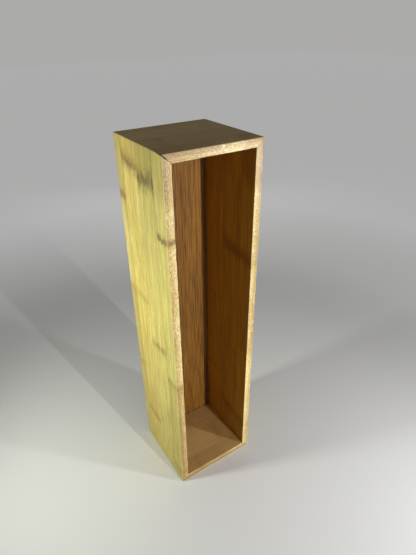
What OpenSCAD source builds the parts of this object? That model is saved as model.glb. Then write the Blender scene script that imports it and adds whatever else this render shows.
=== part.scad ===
// Upright bottle rack: a tall open-fronted case of laminated bamboo.
// Four boards meet in mitres and a back panel sits in a groove that runs round
// them. Every board is edge-glued from long strips, and each strip is a solid.
//
// The case stands on end. +Z is up, the open front faces -Y, and the origin is
// the middle of the base. Millimetres.

/* [Case] */
// Outside width, from side to side
case_w = 100; // [95:1:140]
// Outside depth, from the open front to the back rim
case_d = 95; // [90:1:110]
// Outside height, standing on end
case_h = 406; // [330:1:460]
// Thickness of the four case boards
board_t = 8; // [6:0.5:10]

/* [Lamination] */
// Width of the ripped strip along the open front
front_strip_w = 19; // [16:0.5:22]
// Width of each whole strip behind it
strip_w = 31; // [28:0.5:31]

/* [Back panel] */
// Thickness of the back panel
panel_t = 4.5; // [3:0.5:6]
// Depth of the recess behind the back panel
rear_recess = 8; // [4:0.5:8]
// How far the back panel reaches into the boards
tongue = 3; // [2:0.5:4]
// Room left at the bottom of the groove for the panel to swell
swell_gap = 0.5; // [0.25:0.25:1]

/* [Hidden] */
STRIPS = 4;
BOARDS = ["left_side", "right_side", "top", "bottom", "back_panel"];

front_y = -case_d / 2;
back_y = case_d / 2;
inside_w = case_w - 2 * board_t;
inside_h = case_h - 2 * board_t;

// Glue lines of a case board, from its front edge to its back edge
glue_y = [
    front_y,
    front_y + front_strip_w,
    front_y + front_strip_w + strip_w,
    front_y + front_strip_w + 2 * strip_w,
    back_y
];

panel_back_y = back_y - rear_recess;
panel_front_y = panel_back_y - panel_t;
panel_w = inside_w + 2 * tongue;
panel_h = inside_h + 2 * tongue;
panel_strip_w = panel_w / STRIPS;
groove_depth = tongue + swell_gap;

// Natural bamboo tones, one for each strip of a board
tones = ["#d9c27c", "#e2cf8e", "#d3bd77", "#dcc684"];
panel_tones = ["#a87848", "#b08050", "#a37343", "#ab7b4b"];

// One strip of a case board: its outline seen from the front, run back from
// one glue line to the next, with the panel groove cut where it crosses.
module case_strip(i, outline) {
    color(tones[i - 1])
    difference() {
        translate([0, glue_y[i], 0])
            rotate([90, 0, 0])
                linear_extrude(glue_y[i] - glue_y[i - 1])
                    polygon(outline);
        panel_groove();
    }
}

// The ring-shaped groove, cut as one block that reaches into all four boards
module panel_groove() {
    reach_w = inside_w + 2 * groove_depth;
    reach_h = inside_h + 2 * groove_depth;
    translate([-reach_w / 2, panel_front_y, case_h / 2 - reach_h / 2])
        cube([reach_w, panel_t, reach_h]);
}

// A standing board, mitred at both ends. side is -1 for left and 1 for right.
module side_strip(i, side) {
    outer_x = side * case_w / 2;
    inner_x = side * inside_w / 2;
    case_strip(i, [
        [outer_x, 0],
        [outer_x, case_h],
        [inner_x, case_h - board_t],
        [inner_x, board_t]
    ]);
}

// A lying board, mitred at both ends, from its outer face to its inner face
module cross_strip(i, outer_z, inner_z) {
    case_strip(i, [
        [-case_w / 2, outer_z],
        [case_w / 2, outer_z],
        [inside_w / 2, inner_z],
        [-inside_w / 2, inner_z]
    ]);
}

module left_side_strip(i) {
    side_strip(i, -1);
}

module right_side_strip(i) {
    side_strip(i, 1);
}

module top_strip(i) {
    cross_strip(i, case_h, case_h - board_t);
}

module bottom_strip(i) {
    cross_strip(i, 0, board_t);
}

// The panel's strips stand side by side, from left to right
module back_panel_strip(i) {
    color(panel_tones[i - 1])
    translate([
        -panel_w / 2 + (i - 1) * panel_strip_w,
        panel_front_y,
        board_t - tongue
    ])
        cube([panel_strip_w, panel_t, panel_h]);
}

for (i = [1:STRIPS]) {
    left_side_strip(i);
    right_side_strip(i);
    top_strip(i);
    bottom_strip(i);
    back_panel_strip(i);
}
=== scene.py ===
"""Looks for the upright bottle rack: every bamboo strip is a mesh of its own, built around
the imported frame. Lengths are in metres, and in millimetres inside the materials."""

import math
from functools import reduce

import bmesh
import bpy
from mathutils import Euler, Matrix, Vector, noise


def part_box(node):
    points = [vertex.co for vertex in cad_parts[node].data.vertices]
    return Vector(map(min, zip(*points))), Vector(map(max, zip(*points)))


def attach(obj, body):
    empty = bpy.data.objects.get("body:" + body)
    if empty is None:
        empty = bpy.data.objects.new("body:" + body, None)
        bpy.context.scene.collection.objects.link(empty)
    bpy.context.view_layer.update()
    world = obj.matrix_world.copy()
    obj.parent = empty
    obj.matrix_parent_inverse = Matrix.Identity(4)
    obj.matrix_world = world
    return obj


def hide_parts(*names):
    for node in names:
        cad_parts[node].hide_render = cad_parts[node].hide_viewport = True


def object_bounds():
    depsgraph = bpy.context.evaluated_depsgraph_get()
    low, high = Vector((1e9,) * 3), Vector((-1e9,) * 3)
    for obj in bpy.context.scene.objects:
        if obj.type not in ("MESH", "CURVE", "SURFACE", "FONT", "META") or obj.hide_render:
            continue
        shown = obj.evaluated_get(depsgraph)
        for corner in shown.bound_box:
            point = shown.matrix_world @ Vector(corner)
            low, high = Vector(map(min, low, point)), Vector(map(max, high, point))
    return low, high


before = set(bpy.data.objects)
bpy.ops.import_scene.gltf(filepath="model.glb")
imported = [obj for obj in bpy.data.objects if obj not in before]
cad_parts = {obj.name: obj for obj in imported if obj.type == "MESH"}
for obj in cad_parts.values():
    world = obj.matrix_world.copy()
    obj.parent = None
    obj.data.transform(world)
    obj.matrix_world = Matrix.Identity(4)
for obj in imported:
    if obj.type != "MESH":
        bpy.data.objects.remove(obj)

MM = 0.001
cad_low, cad_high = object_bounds()

# ---------------------------------------------------------------- measures from the frame
WIDTH = cad_high.x - cad_low.x
DEPTH = cad_high.y - cad_low.y
HEIGHT = cad_high.z - cad_low.z
STRIPS = 4
SIDE_LOW, SIDE_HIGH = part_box("left_side_strip_1")
BOARD = SIDE_HIGH.x - SIDE_LOW.x
PANEL_LOW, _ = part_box("back_panel_strip_1")
_, PANEL_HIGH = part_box(f"back_panel_strip_{STRIPS}")
PANEL_FRONT = PANEL_LOW.y - cad_low.y
PANEL_BACK = PANEL_HIGH.y - cad_low.y
# The room that the groove leaves past the end of the panel's tongue, for the panel to swell
SWELL_GAP = 0.5 * MM
GROOVE_DEPTH = (cad_low.x + BOARD) - PANEL_LOW.x + SWELL_GAP

# ---------------------------------------------------------------- finish of the edges
# Radius of the eased edges: outside the case, round its opening, and on the groove's lips
OUTER_EASE = 0.75 * MM
INNER_EASE = 0.65 * MM
LIP_EASE = 0.3 * MM
# How much a radius varies along an edge, as a share of it, and over what length
EASE_DRIFT = 0.12
EASE_DRIFT_LENGTH = 30 * MM
# Takes the inner edges to another part of the noise, so that they vary on their own
INNER_DRIFT_SHIFT = Vector((0.1, 0.2, 0.3))
# A point that easing moves by this share of the outer radius is fully worn
FULL_WEAR = 0.2
# The top left mitre stands open at the front: how wide, how far back and how far in from the
# outside, and over what length the board's end falls away
OPEN_MITRE_BOARD = "left_side"
OPEN_MITRE = 0.8 * MM
OPEN_MITRE_DEPTH = 12 * MM
OPEN_MITRE_ACROSS = 0.65 * BOARD
OPEN_MITRE_FADE = 6 * MM

# ---------------------------------------------------------------- fineness of the meshes
STEP_ALONG = 7 * MM
STEP_ACROSS = 4 * MM
STEP_INWARD = 1.5 * MM
# Places of the grid lines beside an eased edge, in shares of its radius
EASE_SHARES = (0.0, 0.3, 0.6, 0.9, 1.25, 1.7)
# An evenly spaced line goes if a needed one is nearer than this share of a step
LINE_ROOM = 0.25
# Points nearer than the first of these become one, and edges shorter than the second go
WELD_DISTANCE = 0.002 * MM
SLIVER_LENGTH = 0.001 * MM
# Faces that meet at less than this are shaded as one
SMOOTH_ANGLE = math.radians(32)


class Board:
    """A board's own directions: u along the grain, v from the front edge to the back, and w
    inward from the outer face. Its ends are mitred, or square where mitre is 0."""

    def __init__(self, origin, along, across, inward, length, mitre=1.0):
        self.origin = Vector(origin)
        self.axes = [Vector(along), Vector(across), Vector(inward)]
        self.length = length
        self.mitre = mitre

    def place(self, u, v, w):
        along, across, inward = self.axes
        return self.origin + along * u + across * v + inward * w


X, Y, Z = (1, 0, 0), (0, 1, 0), (0, 0, 1)
BOARDS = {
    "left_side": Board((cad_low.x, cad_low.y, 0), Z, Y, X, HEIGHT),
    "right_side": Board((cad_high.x, cad_low.y, 0), Z, Y, (-1, 0, 0), HEIGHT),
    "top": Board((cad_low.x, cad_low.y, HEIGHT), X, Y, (0, 0, -1), WIDTH),
    "bottom": Board((cad_low.x, cad_low.y, 0), X, Y, Z, WIDTH),
    "back_panel": Board(
        (PANEL_LOW.x, PANEL_LOW.y, PANEL_LOW.z), Z, X, Y, PANEL_HIGH.z - PANEL_LOW.z, 0.0
    ),
}


# ---------------------------------------------------------------- strip meshes
def grid_lines(low, high, step, ease_low=0.0, ease_high=0.0, marks=()):
    """Sorted places of grid lines from low to high, about step apart, closer together where
    an edge is eased, and with one on each of marks."""
    fixed = [low, high, *marks]
    fixed += [low + share * ease_low for share in EASE_SHARES if ease_low]
    fixed += [high - share * ease_high for share in EASE_SHARES if ease_high]
    count = max(1, round((high - low) / step))
    even = [low + (high - low) * i / count for i in range(1, count)]
    room = LINE_ROOM * step
    loose = [e for e in even if all(abs(e - f) > room for f in fixed)]
    return sorted({round(x, 7) for x in fixed + loose})


def rounded(point, centre, radius):
    """point, drawn back to radius from centre if it is further away."""
    gap = point - centre
    if gap.length <= radius:
        return point
    return centre + gap * (radius / gap.length)


def drift(point):
    """How much more or less than its nominal size an easing is here, as a hand makes it."""
    return 1 + EASE_DRIFT * noise.noise(point / EASE_DRIFT_LENGTH)


def ease_case(point):
    """point, once the outside edges of the whole case are rounded as one, so that neighbouring
    boards agree."""
    radius = OUTER_EASE * drift(point)
    inset = Vector((radius,) * 3)
    low, high = cad_low + inset, cad_high - inset
    centre = Vector(min(max(p, a), b) for p, a, b in zip(point, low, high))
    return rounded(point, centre, radius)


def ease_board(v, w, point):
    """v and w of a point once the inner edges of its board are rounded: the front and back
    arrises, and the two lips of the panel groove."""
    wobble = drift(point + INNER_DRIFT_SHIFT)
    corners = [
        (0.0, 1, INNER_EASE),
        (DEPTH, -1, OUTER_EASE),
        (PANEL_FRONT, -1, LIP_EASE),
        (PANEL_BACK, 1, LIP_EASE),
    ]
    for edge, inside, size in corners:
        radius = size * wobble
        centre = Vector((edge + inside * radius, BOARD - radius))
        past_v = (centre.x - v) * inside
        if 0 < past_v <= radius and w > centre.y:
            v, w = rounded(Vector((v, w)), centre, radius)
    return v, w


def mitre_gap(name, u, v, w, length):
    """How far the top end of the left board falls short of its mitre, at the open corner."""
    if name != OPEN_MITRE_BOARD:
        return 0.0
    near_end = max(0.0, 1 - (length - u) / OPEN_MITRE_FADE)
    near_front = max(0.0, 1 - v / OPEN_MITRE_DEPTH)
    near_outside = max(0.0, 1 - (w / OPEN_MITRE_ACROSS) ** 2)
    return OPEN_MITRE * near_end * near_front * near_outside


def strip_points(name, v_lines, w_lines):
    """How many grid lines a strip has along its length, and its grid points by (k, i, j): the
    place of each, and how worn it is, from 0 to 1."""
    board = BOARDS[name]
    end_ease = OUTER_EASE if board.mitre else 0.0
    u_lines = grid_lines(0.0, board.length, STEP_ALONG, end_ease, end_ease)
    places = {}
    for k, along in enumerate(u_lines):
        share = along / board.length
        for i, v in enumerate(v_lines):
            for j, w in enumerate(w_lines):
                short = board.mitre * w
                u = short + (board.length - 2 * short) * share
                if board.mitre:
                    u -= mitre_gap(name, u, v, w, board.length)
                    plain = board.place(u, v, w)
                    eased_v, eased_w = ease_board(v, w, plain)
                    final = ease_case(board.place(u, eased_v, eased_w))
                    wear = min(1.0, (final - plain).length / (FULL_WEAR * OUTER_EASE))
                else:
                    final, wear = board.place(u, v, w), 0.0
                places[k, i, j] = (final, wear)
    return len(u_lines), places


def strip_mesh(piece_name, name, v_lines, w_lines, solid):
    """A closed mesh of one strip. solid(i, j) says which cells of its section are wood."""
    count, places = strip_points(name, v_lines, w_lines)
    wood = {
        (i, j)
        for i in range(len(v_lines) - 1)
        for j in range(len(w_lines) - 1)
        if solid(i, j)
    }
    bm = bmesh.new()
    wear_layer = bm.verts.layers.float.new("wear")
    made = {}

    def vert(k, i, j):
        if (k, i, j) not in made:
            place, wear = places[k, i, j]
            made[k, i, j] = bm.verts.new(place)
            made[k, i, j][wear_layer] = wear
        return made[k, i, j]

    for i, j in wood:
        for k in (0, count - 1):
            bm.faces.new([vert(k, *c) for c in ((i, j), (i + 1, j), (i + 1, j + 1), (i, j + 1))])
        sides = {
            (i, j - 1): ((i, j), (i + 1, j)),
            (i, j + 1): ((i, j + 1), (i + 1, j + 1)),
            (i - 1, j): ((i, j), (i, j + 1)),
            (i + 1, j): ((i + 1, j), (i + 1, j + 1)),
        }
        for neighbour, (a, b) in sides.items():
            if neighbour in wood:
                continue
            for k in range(count - 1):
                bm.faces.new([vert(k, *a), vert(k, *b), vert(k + 1, *b), vert(k + 1, *a)])
    bmesh.ops.remove_doubles(bm, verts=bm.verts, dist=WELD_DISTANCE)
    bmesh.ops.dissolve_degenerate(bm, edges=bm.edges, dist=SLIVER_LENGTH)
    bmesh.ops.recalc_face_normals(bm, faces=bm.faces)
    for face in bm.faces:
        face.smooth = True
    for edge in bm.edges:
        edge.smooth = edge.calc_face_angle(0.0) < SMOOTH_ANGLE
    mesh = bpy.data.meshes.new(piece_name)
    bm.to_mesh(mesh)
    bm.free()
    return mesh


def case_strip_mesh(piece_name, name, number):
    """One strip of a mitred board, between its glue lines, with the panel groove."""
    low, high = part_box(f"left_side_strip_{number}")
    v_low, v_high = low.y - cad_low.y, high.y - cad_low.y
    first, last = number == 1, number == STRIPS
    groove_floor = BOARD - GROOVE_DEPTH
    v_marks, w_marks = [], []
    if v_low < PANEL_FRONT and PANEL_BACK < v_high:
        lips = [share * LIP_EASE for share in EASE_SHARES]
        v_marks = [PANEL_FRONT - lip for lip in lips] + [PANEL_BACK + lip for lip in lips]
        w_marks = [groove_floor] + [BOARD - lip for lip in lips]
    front_ease = INNER_EASE if first else 0.0
    back_ease = OUTER_EASE if last else 0.0
    inside_ease = INNER_EASE if first else OUTER_EASE
    v_lines = grid_lines(v_low, v_high, STEP_ACROSS, front_ease, back_ease, v_marks)
    w_lines = grid_lines(0.0, BOARD, STEP_INWARD, OUTER_EASE, inside_ease, w_marks)

    def solid(i, j):
        v, w = (v_lines[i] + v_lines[i + 1]) / 2, (w_lines[j] + w_lines[j + 1]) / 2
        return not (PANEL_FRONT < v < PANEL_BACK and w > groove_floor)

    return strip_mesh(piece_name, name, v_lines, w_lines, solid)


def panel_strip_mesh(piece_name, number):
    """One square-ended strip of the back panel."""
    low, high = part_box(f"back_panel_strip_{number}")
    v_lines = grid_lines(low.x - PANEL_LOW.x, high.x - PANEL_LOW.x, STEP_ACROSS)
    w_lines = grid_lines(0.0, PANEL_BACK - PANEL_FRONT, STEP_INWARD)
    return strip_mesh(piece_name, "back_panel", v_lines, w_lines, lambda i, j: True)


# ---------------------------------------------------------------- materials
DEPTH_MM, BOARD_MM = DEPTH / MM, BOARD / MM
PANEL_FRONT_MM, PANEL_BACK_MM = PANEL_FRONT / MM, PANEL_BACK / MM
# A seed moves a noise by these shares of itself along x, y and z
SEED_SHARES = (1.0, 1.7, 2.3)


def linear(hex_colour):
    """A colour written as #rrggbb, in linear light."""
    parts = [int(hex_colour[i : i + 2], 16) / 255 for i in (1, 3, 5)]
    return [p / 12.92 if p <= 0.04045 else ((p + 0.055) / 1.055) ** 2.4 for p in parts] + [1.0]


class Surface:
    """One material's node tree, built from short calls that take and return sockets."""

    def __init__(self, name):
        self.material = bpy.data.materials.new(name)
        self.material.use_nodes = True
        self.tree = self.material.node_tree
        self.tree.nodes.clear()
        self.shader = self.add("ShaderNodeBsdfPrincipled")
        output = self.add("ShaderNodeOutputMaterial")
        self.tree.links.new(self.shader.outputs[0], output.inputs["Surface"])

    def add(self, kind, **settings):
        node = self.tree.nodes.new(kind)
        for key, value in settings.items():
            setattr(node, key, value)
        return node

    def feed(self, socket, value):
        if isinstance(value, bpy.types.NodeSocket):
            self.tree.links.new(value, socket)
        else:
            socket.default_value = value

    def maths(self, operation, *values):
        node = self.add("ShaderNodeMath", operation=operation)
        for socket, value in zip(node.inputs, values):
            self.feed(socket, value)
        return node.outputs[0]

    def total(self, *values):
        return reduce(lambda a, b: self.maths("ADD", a, b), values)

    def product(self, *values):
        return reduce(lambda a, b: self.maths("MULTIPLY", a, b), values)

    def less(self, a, b):
        return self.maths("SUBTRACT", a, b)

    def largest(self, a, b):
        return self.maths("MAXIMUM", a, b)

    def smallest(self, a, b):
        return self.maths("MINIMUM", a, b)

    def swing(self, value, size):
        """A 0 to 1 value as one that swings by size either way round 0."""
        return self.maths("MULTIPLY_ADD", value, 2 * size, -size)

    def swings(self, patterns, sizes):
        """The patterns that sizes names, each swung by its size and added up."""
        return self.total(*[self.swing(patterns[key], size) for key, size in sizes.items()])

    def ramp(self, value, low, high, to_low=0.0, to_high=1.0):
        """value eased from to_low at low to to_high at high."""
        node = self.add("ShaderNodeMapRange", interpolation_type="SMOOTHSTEP")
        for socket, given in zip(node.inputs, (value, low, high, to_low, to_high)):
            self.feed(socket, given)
        return node.outputs[0]

    def vector(self, *parts):
        node = self.add("ShaderNodeCombineXYZ")
        for socket, value in zip(node.inputs, parts):
            self.feed(socket, value)
        return node.outputs[0]

    def fit(self, vector, scale, shift):
        """vector times scale plus shift, axis by axis."""
        node = self.add("ShaderNodeVectorMath", operation="MULTIPLY_ADD")
        for socket, value in zip(node.inputs, (vector, scale, shift)):
            self.feed(socket, value)
        return node.outputs[0]

    def noise(self, vector, sizes, seed, detail=2.0, roughness=0.5):
        """Cloudy noise from 0 to 1, whose patches have these sizes along vector's axes."""
        node = self.add("ShaderNodeTexNoise", noise_dimensions="3D")
        scaled = self.fit(vector, [1 / s for s in sizes], [seed * share for share in SEED_SHARES])
        for key, value in (("Vector", scaled), ("Scale", 1.0), ("Detail", detail)):
            self.feed(node.inputs[key], value)
        self.feed(node.inputs["Roughness"], roughness)
        return node.outputs["Fac"]

    def patterns(self, vector, table, seed):
        """The noises of a table of (sizes, seed step, detail, roughness), by name."""
        return {
            key: self.noise(vector, sizes, seed + seed_step, detail, roughness)
            for key, (sizes, seed_step, detail, roughness) in table.items()
        }

    def mix(self, factor, a, b):
        """Colour a, or b where factor is 1."""
        node = self.add("ShaderNodeMix", data_type="RGBA")
        for socket, value in zip((node.inputs[0], node.inputs[6], node.inputs[7]), (factor, a, b)):
            self.feed(socket, value)
        return node.outputs[2]

    def finish(self, colour, roughness, specular, height, bump_strength, bump_distance):
        """Feeds the shader, with height as bumps of this strength and this depth in metres."""
        bump = self.add("ShaderNodeBump")
        bump.inputs["Strength"].default_value = bump_strength
        bump.inputs["Distance"].default_value = bump_distance
        self.feed(bump.inputs["Height"], height)
        self.feed(self.shader.inputs["Base Color"], colour)
        self.feed(self.shader.inputs["Roughness"], roughness)
        self.feed(self.shader.inputs["Normal"], bump.outputs[0])
        self.shader.inputs["Specular IOR Level"].default_value = specular


def board_coordinates(surface, name):
    """u, v and w of the surface point in millimetres, as Board defines them."""
    board = BOARDS[name]
    along, across, inward = board.axes
    signs = along + across + inward
    place = surface.add("ShaderNodeTexCoord").outputs["Object"]
    scale = [s / MM for s in signs]
    shift = [-o * s for o, s in zip(board.origin, scale)]
    node = surface.add("ShaderNodeSeparateXYZ")
    surface.feed(node.inputs[0], surface.fit(place, scale, shift))
    order = [max(range(3), key=lambda i: abs(axis[i])) for axis in board.axes]
    return [node.outputs[i] for i in order]


# Patterns that break up a knuckle, by the sizes of their patches along, across and inward: its
# ragged outline, its slower wander, and its blots, as long as a share of half its height
FRAY_SIZES = (9.0, 1.1, 1.1)
LUMP_SIZES = (9.0, 9.0, 9.0)
BLOT_LENGTH_SHARE = 0.7
BLOT_SIZE = 2.6


def knuckles(s, u, v, w, marks, lean, seed):
    """Where the culm's knuckles cross a strip, and how the wood's shade changes from one to the
    next: (a dark core, a wide smudge, a shade). v is from the strip's middle here. marks lists
    each knuckle's place along the strip, its strength, half its height, and how much darker the
    wood is past it, some of which is painted light and shade. One with no strength is only a
    change of shade. lean is their slope."""
    core, smudge, shade = 0.0, 0.0, 0.0
    for number, (place, strength, half, darker) in enumerate(marks):
        across = s.vector(place, v, w)
        fray = s.noise(across, FRAY_SIZES, seed + number, 2.0, 0.6)
        lump = s.noise(across, LUMP_SIZES, seed + number + 0.5, 1.0)
        tilt = s.maths("MULTIPLY_ADD", v, -lean, -place)
        off = s.total(u, tilt, s.swing(fray, 0.5 * half), s.swing(lump, 0.3 * half))
        shade = s.total(shade, s.ramp(off, -half, half, 0.0, darker))
        if not strength:
            continue
        blot_sizes = (BLOT_LENGTH_SHARE * half, BLOT_SIZE, BLOT_SIZE)
        blot = s.noise(s.vector(u, v, w), blot_sizes, seed + number + 0.7, 3.0, 0.6)
        away = s.total(s.maths("ABSOLUTE", off), s.swing(blot, 1.3 * half))
        near = s.ramp(away, 0.2 * half, 1.7 * half, strength, 0.0)
        smudge = s.largest(smudge, near)
        thick = s.ramp(lump, 0.35, 0.6, 0.5 * strength, strength)
        dark = s.ramp(away, 0.0, 0.8 * half, 1.0, 0.0)
        core = s.largest(core, s.product(dark, thick))
    return core, smudge, shade


# Patterns that follow the fibres: (sizes along, across and inward, seed step, detail, roughness)
WOOD_PATTERNS = {
    "cloud": ((130.0, 9.0, 8.0), 5, 2.0, 0.5),
    "patch": ((30.0, 3.6, 2.6), 6, 2.0, 0.5),
    "streak": ((75.0, 1.5, 1.1), 7, 3.0, 0.6),
    "fine": ((24.0, 0.5, 0.45), 9, 2.0, 0.6),
    "hair": ((6.0, 0.2, 0.2), 11, 1.0, 0.5),
    "vessel": ((4.5, 0.42, 0.42), 13, 1.0, 0.5),
    "tint": ((90.0, 5.0, 6.0), 14, 2.0, 0.5),
    "speck": ((3.0, 0.7, 0.7), 17, 3.0, 0.7),
    "flame": ((24.0, 1.1, 0.9), 19, 3.0, 0.6),
    "glint": ((3.0, 0.6, 0.6), 21, 2.0, 0.6),
    "crumb": ((2.2, 0.8, 0.8), 23, 2.0, 0.6),
    "glint_cluster": ((22.0, 9.0, 9.0), 25, 1.0, 0.5),
}
# How far each pattern swings the shade of a face
GRAIN_SWINGS = {"cloud": 0.6, "patch": 0.5, "streak": 1.4, "fine": 0.8, "hair": 0.4}
# A sawn edge shows this share of that, and patterns of its own
SAWN_GRAIN = 0.35
SAWN_SWINGS = {"flame": 0.6, "crumb": 1.1}
# Over the first of these lengths, the fibres drift by the second to either side
DRIFT_ACROSS = (90.0, 0.9)
DRIFT_INWARD = (50.0, 1.4)
# The fibres curl round a knuckle in swirls of these sizes, and by this much
CURL_SIZES = (6.0, 3.5, 3.5)
CURL_REACH = 1.3
# Over the first of these lengths, the depth where the culm's wall turns pale moves by up to the
# second, and it turns over this much to either side
SPLIT_WANDER = (38.0, 4.0)
SPLIT_BLUR = 2.6
# The look of a sawn edge is full at the first of these depths and gone at the second, and the
# inner face's is gone at its first and full at its second
EDGE_FADE = (0.05, 0.5)
INNER_FADE = (0.2, 0.04)
# How much of the inner face's tone, partly painted shade, is left behind the panel
BEHIND_PANEL = 0.25
# Ridges left by the saw: how many radians a millimetre, and how far they waver, in radians
SAW_PITCH = 3.3
SAW_WAVER = 7.0
# A strip at the front or back has no glue line on its open side, so this far stands in for it
NO_SEAM = 9.0


def fibre_space(s, u, v, w, halo, seed):
    """Coordinates that follow the fibres, which run along u, drift a little and curl round the
    knuckles; and the curl."""
    (length_v, reach_v), (length_w, reach_w) = DRIFT_ACROSS, DRIFT_INWARD
    drift_v = s.noise(s.vector(u, 0.0, 0.0), (length_v, 1.0, 1.0), seed + 2, 1.0)
    drift_w = s.noise(s.vector(u, 9.0, 0.0), (length_w, 1.0, 1.0), seed + 2, 1.0)
    curl = s.noise(s.vector(u, v, w), CURL_SIZES, seed + 3, 1.0)
    bend = s.product(s.swing(curl, CURL_REACH), halo)
    across = s.total(v, s.swing(drift_v, reach_v), bend)
    inward = s.total(w, s.swing(drift_w, reach_w), bend)
    return s.vector(u, across, inward), curl


def pale_side(s, u, w, wood, split_mm, seed):
    """How far a sawn edge is into the culm wall's paler side. The side of the wall nearer the
    skin is denser and tanner."""
    length, reach = SPLIT_WANDER
    wander = s.noise(s.vector(u, 0.0, 0.0), (length, 1.0, 1.0), seed + 15, 2.0)
    split = s.maths("MULTIPLY_ADD", wander, reach, split_mm - reach / 2)
    past = s.total(
        w, s.product(split, -1.0), s.swing(wood["streak"], 3.0), s.swing(wood["flame"], 2.0)
    )
    return s.ramp(past, -SPLIT_BLUR, SPLIT_BLUR)


def sawn_edges(s, v):
    """Where the surface is the sawn front or back edge of a board."""
    full, gone = EDGE_FADE
    front = s.ramp(v, full, gone, 1.0, 0.0)
    back = s.ramp(v, DEPTH_MM - gone, DEPTH_MM - full)
    return s.largest(front, back)


def inner_face(s, v, w):
    """Where the surface is a board's inner face, whose tone, partly painted shade, fades behind
    the panel.
    """
    gone, full = INNER_FADE
    inner = s.ramp(w, BOARD_MM - gone, BOARD_MM - full)
    return s.product(
        inner, s.ramp(v, PANEL_FRONT_MM + 1.0, PANEL_BACK_MM - 1.0, 1.0, BEHIND_PANEL)
    )


def open_mitre_dark(s, name, v, w, from_start, from_end):
    """How dark the open mitre is: darkest at its front, fading back along the joint."""
    from_gap = from_end if OPEN_ENDS[name] == "end" else from_start
    if name == OPEN_MITRE_BOARD:
        near_front = s.largest(0.0, s.maths("MULTIPLY_ADD", v, -MM / OPEN_MITRE_DEPTH, 1.0))
        far_in = s.maths("POWER", s.product(w, MM / OPEN_MITRE_ACROSS), 2.0)
        near_outside = s.largest(0.0, s.less(1.0, far_in))
        from_gap = s.less(from_gap, s.product(near_front, near_outside, OPEN_MITRE / MM))
    mitre_dark = s.product(s.ramp(v, 3.0, 32.0, 0.97, 0.12), s.ramp(w, 3.0, 6.5, 1.0, 0.5))
    return s.ramp(from_gap, 0.2, 0.7, mitre_dark, 0.0)


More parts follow.
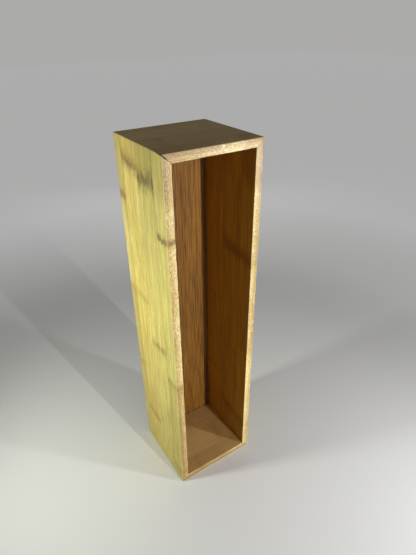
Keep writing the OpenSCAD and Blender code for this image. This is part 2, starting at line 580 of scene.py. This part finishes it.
def bamboo(material_name, name, number, look):
    """Flat-grain bamboo for one strip. look holds its tones, knuckles and seed."""
    s = Surface(material_name)
    seed = look["seed"]
    u, v, w = board_coordinates(s, name)
    low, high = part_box(f"left_side_strip_{number}")
    v_low, v_high = (low.y - cad_low.y) / MM, (high.y - cad_low.y) / MM
    from_middle = s.less(v, (v_low + v_high) / 2)
    lean = KNUCKLE_LEAN.get((name, number), USUAL_LEAN)
    core, halo, step = knuckles(s, u, from_middle, w, look["knuckles_mm"], lean, seed)
    grain, curl = fibre_space(s, u, v, w, halo, seed)
    wood = s.patterns(grain, WOOD_PATTERNS, seed)
    streak, fine = wood["streak"], wood["fine"]

    # Only the sawn edges show the wall of the culm: the faces show its outer or inner side.
    edge = sawn_edges(s, v)
    inner = inner_face(s, v, w)
    # The strip's shade and its steps, some of which are painted light and shade
    plain = s.total(0.5, look["darker"], step)
    grain_shade = s.swings(wood, GRAIN_SWINGS)
    shade = s.total(plain, s.product(grain_shade, look["contrast"]))
    sawn_shade = s.total(plain, s.product(grain_shade, SAWN_GRAIN), s.swings(wood, SAWN_SWINGS))
    face = s.mix(shade, look["light"], look["dark"])
    face = s.mix(s.ramp(wood["tint"], 0.48, 0.68, 0.0, 0.4), face, look["golden"])
    pale = s.mix(sawn_shade, look["pale_light"], look["pale_dark"])
    rim = s.mix(sawn_shade, look["rim_light"], look["rim_dark"])
    # The inner faces take darker, browner tones, partly painted shade of the box's inside.
    colour = s.mix(inner, face, s.mix(shade, look["inner_light"], look["inner_dark"]))
    pith = pale_side(s, u, w, wood, look["split_mm"], seed)
    colour = s.mix(edge, colour, s.mix(pith, rim, pale))

    # Pores: short dark vessels, plainest on the sawn edge. There the cut fibres' glints are
    # painted
    # highlights: pale flecks, which are also made smoother and raised.
    vessel = s.ramp(wood["vessel"], 0.56, 0.7, 0.0, 0.3)
    speck = s.product(s.ramp(wood["speck"], 0.5, 0.62, 0.0, 0.4), edge)
    pores = s.largest(vessel, speck)
    colour = s.mix(pores, colour, look["pore"])
    glint_cluster = s.ramp(wood["glint_cluster"], 0.42, 0.62, 0.35, 1.0)
    bright = s.product(glint_cluster, s.ramp(plain, 0.4, 1.0, 1.0, 0.35))
    glint_fleck = s.product(s.ramp(wood["glint"], 0.5, 0.68, 0.0, 0.7), s.product(edge, bright))
    colour = s.mix(glint_fleck, colour, look["glint"])

    # Knuckles: a browner smudge and a darker core, both broken up by the fibres.
    ragged = s.total(fine, s.swing(streak, 0.6), s.swing(curl, 0.3))
    faint = s.maths("MULTIPLY_ADD", edge, look["on_edge"] - 1.0, 1.0)
    broken = s.product(s.ramp(ragged, 0.25, 0.6, 0.55, 1.0), faint)
    smudge_tone = s.mix(edge, look["knuckle"], look["edge_knuckle"])
    smudge_tone = s.mix(inner, smudge_tone, look["inner_knuckle"])
    heart_tone = s.mix(edge, look["knuckle_dark"], look["edge_knuckle_dark"])
    heart_tone = s.mix(inner, heart_tone, look["inner_knuckle"])
    colour = s.mix(s.product(halo, broken, look["smudge"]), colour, smudge_tone)
    colour = s.mix(s.product(core, broken, look["heart"]), colour, heart_tone)

    # Glue lines along the strip and across the mitres, one of which stands a little open.
    from_low = s.less(v, v_low if number > 1 else -NO_SEAM)
    from_high = s.less(v_high if number < STRIPS else v_high + NO_SEAM, v)
    from_start = s.less(u, w)
    from_end = s.less(s.less(BOARDS[name].length / MM, u), w)
    seam = s.ramp(s.smallest(from_low, from_high), 0.1, 0.6, look["seam"], 0.0)
    mitre = s.ramp(s.smallest(from_start, from_end), 0.1, 0.45, 0.6, 0.0)
    glue = s.largest(seam, mitre)
    colour = s.mix(glue, colour, look["glue"])
    if (name, number) in STAINED_SEAMS:
        above = s.ramp(u, *STAINED_SEAMS[name, number], 0.0, 0.6)
        beside = s.ramp(s.total(from_low, s.swing(streak, 0.8)), 0.2, 2.4, 1.0, 0.0)
        colour = s.mix(s.product(above, beside), colour, look["knuckle_dark"])
    mitre_dark = 0.0
    if name in OPEN_ENDS:
        mitre_dark = open_mitre_dark(s, name, v, w, from_start, from_end)
        colour = s.mix(mitre_dark, colour, look["gap"])

    # Handling rubs the arrises a little paler and smoother.
    wear = s.add("ShaderNodeAttribute", attribute_name="wear").outputs["Fac"]
    rub = s.product(wear, s.ramp(streak, 0.3, 0.7, 0.25, 0.6))
    colour = s.mix(rub, colour, look["rub"])

    # The saw left faint ridges across the sawn edges.
    ridge = s.maths("SINE", s.total(s.product(u, SAW_PITCH), s.swing(wood["patch"], SAW_WAVER), w))
    saw = s.product(ridge, edge, s.ramp(wood["cloud"], 0.4, 0.6))
    colour = s.mix(s.product(saw, 0.1), colour, look["rub"])

    roughness = s.total(
        0.56,
        s.swing(fine, 0.12),
        s.product(edge, -0.22),
        s.product(rub, -0.1),
        s.product(glint_fleck, -0.3),
    )
    roughness = s.largest(roughness, mitre_dark)
    height = s.total(
        s.product(streak, 0.6),
        s.product(fine, 0.6),
        s.product(wood["hair"], 0.25),
        s.product(pores, -1.0),
        s.product(glint_fleck, 0.5),
        s.product(glue, -0.6),
        s.product(core, 0.4),
        s.product(saw, 0.12),
    )
    s.finish(colour, roughness, 0.45, height, 0.6, 0.12 * MM)
    return s.material


# The panel's patterns and how far they swing its shade, as for the boards
PANEL_PATTERNS = {
    "cloud": ((120.0, 14.0, 8.0), 1, 2.0, 0.5),
    "band": ((180.0, 1.5, 2.0), 3, 2.0, 0.55),
    "fine": ((40.0, 0.5, 0.5), 5, 2.0, 0.6),
    "vessel": ((7.0, 0.4, 0.4), 7, 1.0, 0.5),
    "tick": ((26.0, 0.8, 0.8), 9, 2.0, 0.7),
}
PANEL_SWINGS = {"cloud": 0.3, "band": 0.6, "fine": 1.3, "tick": 0.9}
# The painted shade along the panel's sides, where the side boards shade its corners, starts
# and is full at these distances from the tongue's edge, and the grime along its foot is full
# and gone at these heights above the bottom board
CORNER_SHADE_REACH = (10.0, 5.0)
GRIME_REACH = (0.4, 1.5)
GRIME_RAGGED_LENGTH = 4.0
GRIME_RAGGED_REACH = 5.0
GRIME_SEED = 31.0


def panel_bamboo(material_name, number, look):
    """Narrow straight grain in a warmer brown, for one strip of the back panel."""
    s = Surface(material_name)
    u, v, w = board_coordinates(s, "back_panel")
    wood = s.patterns(s.vector(u, v, w), PANEL_PATTERNS, look["seed"])
    shade = s.total(0.5, s.swings(wood, PANEL_SWINGS))
    colour = s.mix(shade, look["light"], look["dark"])
    vessel = s.ramp(wood["vessel"], 0.54, 0.68)
    colour = s.mix(s.product(vessel, 0.15), colour, look["pore"])
    low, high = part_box(f"back_panel_strip_{number}")
    v_low, v_high = (low.x - PANEL_LOW.x) / MM, (high.x - PANEL_LOW.x) / MM
    nearest = s.smallest(s.less(v, v_low), s.less(v_high, v))
    colour = s.mix(s.ramp(nearest, 0.03, 0.2, 0.4, 0.0), colour, look["pore"])

    # Painted shade darkens both sides of the panel, where the side boards shade its corners, and
    # grime lies here and there along the foot.
    half_width = (PANEL_HIGH.x - PANEL_LOW.x) / 2 / MM
    aside = s.maths("ABSOLUTE", s.less(v, half_width))
    shade_start, shade_full = (half_width - reach for reach in CORNER_SHADE_REACH)
    colour = s.mix(s.ramp(aside, shade_start, shade_full, 0.0, 0.6), colour, look["corner_shade"])
    foot = (BOARD - PANEL_LOW.z) / MM
    ragged_sizes = (1.0, GRIME_RAGGED_LENGTH, 1.0)
    ragged = s.noise(s.vector(0.0, v, 0.0), ragged_sizes, GRIME_SEED, 3.0, 0.6)
    above = s.less(u, s.swing(ragged, GRIME_RAGGED_REACH))
    grime_full, grime_gone = (foot + reach for reach in GRIME_REACH)
    colour = s.mix(s.ramp(above, grime_full, grime_gone, 0.95, 0.0), colour, look["grime"])

    roughness = s.total(0.58, s.swing(wood["fine"], 0.1))
    height = s.total(wood["band"], s.product(wood["fine"], 0.6), s.product(vessel, -0.8))
    s.finish(colour, roughness, 0.35, height, 0.45, 0.1 * MM)
    return s.material


# Tones of natural bamboo, shared by the case boards
CASE_LOOK = {
    "pale_light": linear("#f1de98"),
    "pale_dark": linear("#aa8d42"),
    "rim_light": linear("#d5b666"),
    "rim_dark": linear("#8b672c"),
    "edge_knuckle": linear("#9c7a40"),
    "edge_knuckle_dark": linear("#6b4a22"),
    "golden": linear("#cdb04c"),
    "pore": linear("#7d5a2c"),
    "glue": linear("#6e5230"),
    "gap": linear("#1b1009"),
    "rub": linear("#f6e6b8"),
    # Pale tone of the painted highlights on the sawn edges' cut fibres
    "glint": linear("#fbf2d0"),
    # How deep the culm wall's tan side is, and how strong a knuckle's smudge and core are
    "split_mm": 4.0,
    "smudge": 0.9,
    "heart": 0.85,
}
# How far a knuckle climbs for each unit of depth, on most strips and on these
USUAL_LEAN = 0.17
KNUCKLE_LEAN = {("left_side", 1): 0.02, ("left_side", 2): -0.12, ("left_side", 3): 0.1}
# Tones of a knuckle: (smudge, core)
KNUCKLE_TONES = {"olive": ("#84742e", "#594c1b"), "brown": ("#a5863b", "#765a27")}
# How strongly the grain and the glue lines show on each board's faces
FACE_CONTRAST = {"left_side": 0.8, "right_side": 0.8, "top": 0.32, "bottom": 0.35}
SEAM_CONTRAST = {"left_side": 0.45, "right_side": 0.5, "top": 0.25, "bottom": 0.2}
# A seam that a knuckle has stained: where the stain starts and is full, beside this strip
STAINED_SEAMS = {("left_side", 2): (360, 376)}
# How strongly the knuckles show on the sawn edges of each board
EDGE_KNUCKLES = {"left_side": 1.0, "right_side": 0.35, "top": 0.8, "bottom": 0.8}
# Each board's tones on its inner face: (light, dark, knuckle). They are darker and browner than
# the outside partly as painted shade of the box's inside, most of all on the right side
INNER_TONES_WITH_SHADE = {
    "left_side": ("#c2944c", "#966b2c", "#845c28"),
    "right_side": ("#aa7a12", "#855606", "#734807"),
    "top": ("#b87f26", "#8e5c12", "#7e500e"),
    "bottom": ("#d6b67a", "#b8945c", "#a5824c"),
}
# Each board's strips from the front: (light tone, dark tone, how much darker, knuckle tone,
# knuckles), where a knuckle is (height or distance from the left, strength, half height, how
# much darker past it). One with no strength is only a change of shade. Some of these changes
# of shade are painted light and shade: the left side's strips are darker towards their top and
# foot, where the left lamp's light falls off, the right side's strips are lighter near their
# foot, where light bounces up from the floor, and the front strips of the top and the right
# side are darker where the right lamp's sheen falls on their sawn edges.
STRIP_WOOD = {
    "left_side": [
        ("#ddd278", "#aa9c4b", 0.3, "olive",
         [(18, 0.4, 7, 0), (160, 0.45, 5, -0.38), (331, 1, 4, 0.1), (368, 0, 12, 0.36)]),
        ("#dfd179", "#aa9b4b", 0.22, "olive",
         [(105, 0, 15, -0.17), (193, 0.45, 6, -0.05), (330, 0, 15, 0.1), (377, 1, 10, 0.65)]),
        ("#ead97a", "#b49f4d", 0.28, "brown",
         [(62, 0.65, 6, -0.05), (115, 0, 12, -0.1), (242, 0.35, 6, -0.12), (385, 1, 8, 0.4)]),
        ("#e2d483", "#ad9b54", 0.3, "brown",
         [(131, 0.6, 6, 0.25), (243, 0.35, 5, -0.5), (320, 0, 12, 0.2), (349, 1, 7, 0.1)]),
    ],
    "right_side": [
        ("#dfcd83", "#bda352", -0.25, "brown",
         [(45, 0.6, 6, -0.05), (165, 0.2, 5, 0.3), (284, 0.9, 7, -0.05), (365, 0, 10, 0.7)]),
        ("#d8c67a", "#b59b4e", -0.2, "brown",
         [(50, 0.6, 7, 0.15), (150, 0.2, 5, 0.05), (288, 1, 8, 0.1)]),
        ("#e2d085", "#bfa657", -0.4, "brown",
         [(96, 0.3, 5, 0.3), (214, 0.2, 5, 0), (345, 0.2, 6, 0.15)]),
        ("#dac77a", "#b49a4c", 0.0, "brown",
         [(130, 0.5, 6, 0.1), (268, 0.6, 6, 0)]),
    ],
    "top": [
        ("#dec07a", "#b99650", 0.6, "brown",
         [(20, 0, 8, -0.25), (55, 0, 8, -0.3), (84, 0.3, 5, 0.3)]),
        ("#d9ba75", "#b5914c", 0.0, "brown", [(18, 0.25, 5, 0)]),
        ("#e1c37d", "#bc9953", 0.0, "brown", [(81, 0.2, 5, 0)]),
        ("#dbbc76", "#b6934e", 0.0, "brown", [(40, 0.3, 5, 0)]),
    ],
    "bottom": [
        ("#d6c07c", "#b39650", 0.45, "brown", [(28, 0.35, 5, 0), (66, 0, 8, -0.2)]),
        ("#d0b876", "#ac8f4a", 0.0, "brown", [(74, 0.3, 5, 0)]),
        ("#d8c280", "#b59953", 0.0, "brown", [(46, 0.3, 5, 0)]),
        ("#d1ba77", "#ae914c", 0.0, "brown", [(88, 0.3, 5, 0)]),
    ],
}
# The two boards that meet at the open mitre, and which end of each is there
OPEN_ENDS = {"left_side": "end", "top": "start"}
# Tones shared by the panel's strips, and each strip's own from the left: (light, dark)
PANEL_LOOK = {
    "pore": linear("#4d2c14"),
    # Tone of the painted shade in the panel's corners by the side boards
    "corner_shade": linear("#48290e"),
    "grime": linear("#2c1a0b"),
}
PANEL_TONES = [
    ("#af7b2c", "#613c10"),
    ("#b68231", "#674113"),
    ("#ab7729", "#5d390e"),
    ("#ae7a2d", "#603b10"),
]
# Where the seeds of the strips' patterns start, and how far apart they are
CASE_SEED, SEED_PER_BOARD, SEED_PER_STRIP = 10.0, 7.3, 1.9
PANEL_SEED, PANEL_SEED_PER_STRIP = 60.0, 2.7


def add_piece(mesh, material, node):
    """A visible piece that stands for a CAD node."""
    piece = bpy.data.objects.new(mesh.name, mesh)
    bpy.context.scene.collection.objects.link(piece)
    mesh.materials.append(material)
    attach(piece, "root")
    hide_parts(node)


for row, (board_name, strips) in enumerate(STRIP_WOOD.items()):
    inner_light, inner_dark, inner_knuckle = INNER_TONES_WITH_SHADE[board_name]
    for number, (light, dark, darker, knuckle_tone, marks) in enumerate(strips, start=1):
        node_name = f"{board_name}_strip_{number}"
        knuckle, knuckle_dark = KNUCKLE_TONES[knuckle_tone]
        look = dict(
            CASE_LOOK,
            light=linear(light),
            dark=linear(dark),
            inner_light=linear(inner_light),
            inner_dark=linear(inner_dark),
            inner_knuckle=linear(inner_knuckle),
            on_edge=EDGE_KNUCKLES[board_name],
            contrast=FACE_CONTRAST[board_name],
            seam=SEAM_CONTRAST[board_name],
            darker=darker,
            knuckle=linear(knuckle),
            knuckle_dark=linear(knuckle_dark),
            knuckles_mm=marks,
            seed=CASE_SEED + SEED_PER_BOARD * row + SEED_PER_STRIP * number,
        )
        mesh = case_strip_mesh(f"{node_name}_wood", board_name, number)
        material = bamboo(f"bamboo_{node_name}", board_name, number, look)
        add_piece(mesh, material, node_name)

for number, (light, dark) in enumerate(PANEL_TONES, start=1):
    node_name = f"back_panel_strip_{number}"
    look = dict(
        PANEL_LOOK,
        light=linear(light),
        dark=linear(dark),
        seed=PANEL_SEED + PANEL_SEED_PER_STRIP * number,
    )
    mesh = panel_strip_mesh(f"{node_name}_wood", number)
    material = panel_bamboo(f"bamboo_{node_name}", number, look)
    add_piece(mesh, material, node_name)


# ---------------------------------------------------------------- floor, light and camera
FLOOR_HALF = 6.0
FLOOR_CELLS = 8
# Keeps the floor's face and the base's from lying in one plane
FLOOR_DROP = 0.05 * MM
FLOOR_ROUGHNESS = 0.75
FLOOR_NEAR, FLOOR_FAR = linear("#e4e5e6"), linear("#8e9091")
# Distances from the case over which the floor goes from its near tone to its far one, and over
# which its glow comes up
TONE_REACH = (0.5, 0.85)
GLOW_REACH = (0.35, 0.9)
FLOOR_GLOW = 0.357
FLOOR_GLOW_COLOUR = (1.0, 1.0, 0.99, 1.0)
# Low soft lamps, all under the height of the top: (name, place, size, power, colour)
LAMPS = (
    ("left_lamp", (-0.365, 0.073, 0.25), (0.05, 0.06), 1.08, (0.97, 1.0, 0.87)),
    ("right_lamp", (0.311, -0.425, 0.25), (0.03, 0.05), 1.22, (1.0, 0.985, 0.985)),
    ("front_lamp", (0.118, -1.0, 0.3), (0.012, 0.03), 5.2, (1.0, 0.985, 0.96)),
    ("back_lamp", (0.5, 0.95, 0.3), (0.8, 0.12), 0.8, (1.0, 0.99, 0.97)),
)
# The room's glow at the horizon and overhead. It goes from one to the other between these two
# heights, each the sine of an angle above the horizon
HORIZON_GLOW = 0.41
OVERHEAD_GLOW = 0.11
ROOM_FADE = (0.08, 0.6)
ROOM_COLOUR = (1.0, 0.99, 0.98, 1.0)
# The camera stands to the left of the case and above it. Its angles are in degrees
CAMERA_PLACE = (-0.1948, -0.3350, 0.4931)
CAMERA_AZIMUTH, CAMERA_ELEVATION, CAMERA_ROLL = -32.79, 31.37, -0.63
CAMERA_LENS_MM, CAMERA_SENSOR_MM = 27.56, 36.0
CAMERA_CLIP = (0.01, 50.0)


def add_floor():
    """A plain pale floor under the base. Further out it glows softly, as a lit studio does, and
    reflects less, so that the lamps leave no glare on it."""
    bm = bmesh.new()
    bmesh.ops.create_grid(bm, x_segments=FLOOR_CELLS, y_segments=FLOOR_CELLS, size=FLOOR_HALF)
    mesh = bpy.data.meshes.new("floor")
    bm.to_mesh(mesh)
    bm.free()
    floor = bpy.data.objects.new("floor", mesh)
    floor.location.z = cad_low.z - FLOOR_DROP
    bpy.context.scene.collection.objects.link(floor)
    s = Surface("pale_floor")
    s.shader.inputs["Roughness"].default_value = FLOOR_ROUGHNESS
    s.shader.inputs["Emission Color"].default_value = FLOOR_GLOW_COLOUR
    from_case = s.add("ShaderNodeVectorMath", operation="LENGTH")
    s.feed(from_case.inputs[0], s.add("ShaderNodeTexCoord").outputs["Object"])
    reach = from_case.outputs["Value"]
    s.feed(s.shader.inputs["Base Color"], s.mix(s.ramp(reach, *TONE_REACH), FLOOR_NEAR, FLOOR_FAR))
    s.feed(s.shader.inputs["Emission Strength"], s.ramp(reach, *GLOW_REACH, 0.0, FLOOR_GLOW))
    mesh.materials.append(s.material)


def add_lamp(name, place, size, power, colour):
    """A soft rectangular lamp that faces the middle of the case at its own height."""
    data = bpy.data.lights.new(name, "AREA")
    data.shape = "RECTANGLE"
    data.size, data.size_y = size
    data.energy = power
    data.color = colour
    lamp = bpy.data.objects.new(name, data)
    lamp.location = place
    ahead = Vector((-place[0], -place[1], 0.0))
    lamp.rotation_euler = ahead.to_track_quat("-Z", "Y").to_euler()
    lamp.visible_camera = False
    bpy.context.scene.collection.objects.link(lamp)


def add_room():
    """Light from a pale room: brighter towards the horizon, dim overhead."""
    world = bpy.data.worlds.new("soft_room")
    world.use_nodes = True
    tree = world.node_tree
    background = tree.nodes["Background"]
    background.inputs["Color"].default_value = ROOM_COLOUR
    direction = tree.nodes.new("ShaderNodeTexCoord")
    split = tree.nodes.new("ShaderNodeSeparateXYZ")
    fade = tree.nodes.new("ShaderNodeMapRange")
    fade.interpolation_type = "SMOOTHSTEP"
    for socket, value in zip(fade.inputs[1:5], (*ROOM_FADE, HORIZON_GLOW, OVERHEAD_GLOW)):
        socket.default_value = value
    tree.links.new(direction.outputs["Generated"], split.inputs[0])
    tree.links.new(split.outputs["Z"], fade.inputs[0])
    tree.links.new(fade.outputs[0], background.inputs["Strength"])
    bpy.context.scene.world = world


def add_camera():
    """A wide phone-like view from the upper left of the open front."""
    data = bpy.data.cameras.new("camera")
    data.lens = CAMERA_LENS_MM
    data.sensor_width = CAMERA_SENSOR_MM
    data.clip_start, data.clip_end = CAMERA_CLIP
    camera = bpy.data.objects.new("camera", data)
    camera.location = CAMERA_PLACE
    tilt, turn = math.radians(90 - CAMERA_ELEVATION), math.radians(CAMERA_AZIMUTH)
    aim = Euler((tilt, 0.0, turn)).to_quaternion()
    roll = Euler((0.0, 0.0, math.radians(CAMERA_ROLL))).to_quaternion()
    camera.rotation_mode = "QUATERNION"
    camera.rotation_quaternion = aim @ roll
    bpy.context.scene.collection.objects.link(camera)
    bpy.context.scene.camera = camera


add_floor()
for lamp_settings in LAMPS:
    add_lamp(*lamp_settings)
add_room()
add_camera()
bpy.context.scene.view_settings.view_transform = "Standard"
